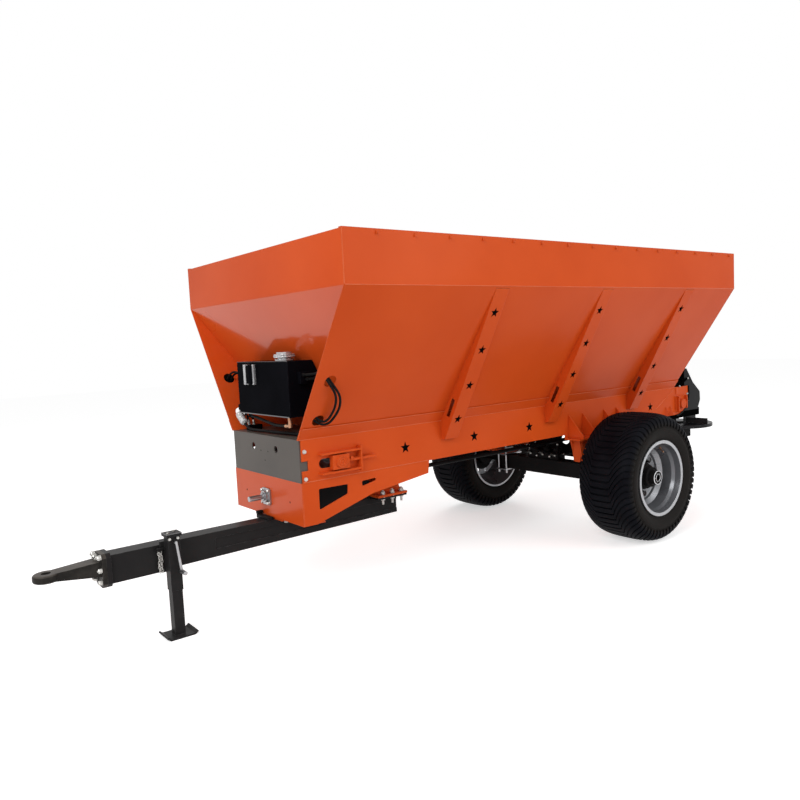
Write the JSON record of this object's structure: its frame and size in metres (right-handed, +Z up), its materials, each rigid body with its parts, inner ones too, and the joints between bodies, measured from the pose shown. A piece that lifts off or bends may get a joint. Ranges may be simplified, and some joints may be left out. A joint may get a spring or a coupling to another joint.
{
  "type": "fertilizer spreader",
  "caption": "Towed fertilizer spreader with a long V-shaped hopper on one axle, a floor conveyor, a rear slide gate and spinner discs, a drawbar with a tow eye, and a jack.",
  "frame": {"origin": "on the ground, under the middle of the overall length and width", "axes": "+X forward towards the tow eye, +Y to the left wheel, +Z up"},
  "size_m": [6.129, 2.25, 2.29],
  "materials": {
    "orange_paint": "glossy",
    "cover_paint": "satin",
    "black_paint": "satin",
    "bright_steel": "satin",
    "rim_paint": "satin",
    "tyre_rubber": "matte",
    "hose_rubber": "satin"
  },
  "bodies": {
    "chassis": {"hopper_side_left": "orange_paint", "hopper_side_right": "orange_paint", "hopper_front": "orange_paint", "hopper_rear": "orange_paint", "frame_side_left": "orange_paint", "frame_side_right": "orange_paint", "ribs_left": "orange_paint", "ribs_right": "orange_paint", "front_box": "orange_paint", "truss_plate_left": "orange_paint", "truss_plate_right": "orange_paint", "axle_mounts": "orange_paint", "leaf_springs": "orange_paint", "tensioners": "orange_paint", "rear_bearings": "orange_paint", "crossmembers": "orange_paint", "drawbar_mount": "orange_paint", "conveyor_floor": "orange_paint", "front_cover": "cover_paint", "hood": "cover_paint", "oil_tank": "black_paint", "tank_stand": "black_paint", "axle_beam": "black_paint", "drawbar": "black_paint", "tow_eye": "black_paint", "jack_tube": "black_paint", "drop_box": "black_paint", "spinner_gearbox": "black_paint", "spinner_frame": "black_paint", "gate_guides": "black_paint", "gate_cylinder": "black_paint", "driveline_cover": "black_paint", "rear_guard": "black_paint", "tank_cap": "bright_steel", "level_gauge": "bright_steel", "conveyor_shafts": "bright_steel", "conveyor_chain": "bright_steel", "axle_clamps": "bright_steel", "jack_crank": "bright_steel", "pto_bearing": "bright_steel", "hose_fittings": "bright_steel", "rear_edging": "hose_rubber", "front_wing_hose_left": "hose_rubber", "front_wing_hose_right": "hose_rubber", "rear_wing_hose_left": "hose_rubber", "rear_wing_hose_right": "hose_rubber", "upper_tank_hose": "hose_rubber", "lower_tank_hose": "hose_rubber"},
    "wheel_left": {"tyre_left": "tyre_rubber", "rim_left": "rim_paint", "hub_left": "black_paint"},
    "wheel_right": {"tyre_right": "tyre_rubber", "rim_right": "rim_paint", "hub_right": "black_paint"},
    "power_shaft": {"pto_stub": "bright_steel", "driveline": "black_paint"},
    "spinner_left": {"spinner_disc_left": "black_paint"},
    "spinner_right": {"spinner_disc_right": "black_paint"},
    "jack_foot": {"jack_leg": "black_paint"},
    "rear_gate": {"gate": "bright_steel"}
  },
  "joints": [
    {"name": "wheel_left_spin", "type": "hinge", "parent": "chassis", "child": "wheel_left", "pos_m": [-1.1945, 0.893, 0.507], "axis": [0, 1, 0], "continuous": true},
    {"name": "wheel_right_spin", "type": "hinge", "parent": "chassis", "child": "wheel_right", "pos_m": [-1.1945, -0.893, 0.507], "axis": [0, 1, 0], "continuous": true},
    {"name": "power_shaft_spin", "type": "hinge", "parent": "chassis", "child": "power_shaft", "pos_m": [1.6455, 0, 0.7], "axis": [1, 0, 0], "continuous": true},
    {"name": "spinner_left_spin", "type": "hinge", "parent": "chassis", "child": "spinner_left", "pos_m": [-2.7645, 0.33, 0.73], "axis": [0, 0, 1], "continuous": true},
    {"name": "spinner_right_spin", "type": "hinge", "parent": "chassis", "child": "spinner_right", "pos_m": [-2.7645, -0.33, 0.73], "axis": [0, 0, 1], "continuous": true},
    {"name": "jack_slide", "type": "slide", "parent": "chassis", "child": "jack_foot", "axis": [0, 0, 1], "range_m": [0, 0.25]},
    {"name": "gate_slide", "type": "slide", "parent": "chassis", "child": "rear_gate", "axis": [0, 0, 1], "range_m": [0, 0.3]}
  ]
}
